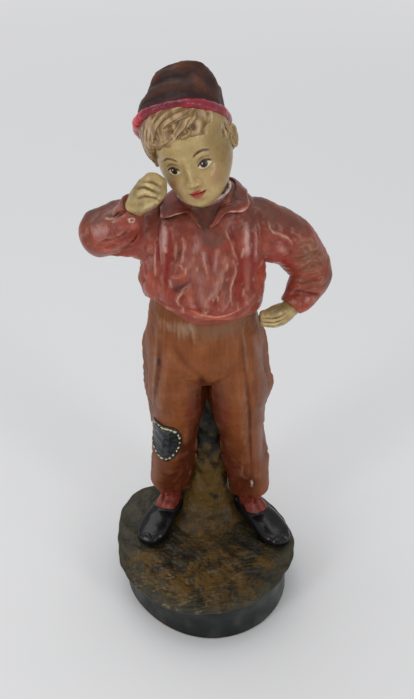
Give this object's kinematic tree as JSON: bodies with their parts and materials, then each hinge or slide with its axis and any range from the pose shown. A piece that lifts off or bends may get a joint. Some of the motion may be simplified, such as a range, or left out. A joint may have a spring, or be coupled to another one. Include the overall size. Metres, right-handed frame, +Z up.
{
  "type": "terracotta sculpture",
  "caption": "Painted terracotta figure of a boy in a rolled-edge cap, bloused shirt and patched trousers, fist at his cheek and hand on hip, on an oval plinth.",
  "frame": {"origin": "middle of the underside of the plinth, which is also the middle of the bounding box's bottom", "axes": "+Z up, -Y the way the figure faces, +X the figure's own left"},
  "size_m": [0.1705, 0.142, 0.4319],
  "materials": {
    "plinth_paint": "glossy dark green-black oil paint, worn to bare terracotta at the foot",
    "ground_paint": "glossy mottled paint, dark green under golden ochre strokes",
    "shoe_paint": "glossy black paint",
    "sock_paint": "semi-gloss red paint",
    "trouser_paint": "semi-gloss brown-orange paint, darker in the folds",
    "shirt_paint": "glossy red paint, browner on the shoulders and worn pale on the folds",
    "skin_paint": "yellowed flesh-coloured oil paint with a gloss varnish",
    "hair_paint": "ochre-brown paint over modelled curls",
    "cap_paint": "semi-gloss dark brown paint with red showing through",
    "cap_roll_paint": "glossy raspberry red paint",
    "neckband_paint": "pale pink paint",
    "patch_paint": "glossy black-green paint",
    "stitch_paint": "cream paint strokes"
  },
  "bodies": {
    "root": {"plinth": "plinth_paint", "ground": "ground_paint", "mound": "ground_paint", "shoe_right": "shoe_paint", "shoe_left": "shoe_paint", "sock_right": "sock_paint", "sock_left": "sock_paint", "trouser_leg_right": "trouser_paint", "trouser_leg_left": "trouser_paint", "trouser_seat": "trouser_paint", "shirt": "shirt_paint", "sleeve_right": "shirt_paint", "sleeve_left": "shirt_paint", "hand_right": "skin_paint", "hand_left": "skin_paint", "head": "skin_paint", "neck": "skin_paint", "ear_right": "skin_paint", "ear_left": "skin_paint", "hair": "hair_paint", "cap": "cap_paint", "cap_roll": "cap_roll_paint", "collar": "shirt_paint", "neckband": "neckband_paint", "knee_patch": "patch_paint", "patch_stitching": "stitch_paint"}
  },
  "joints": []
}
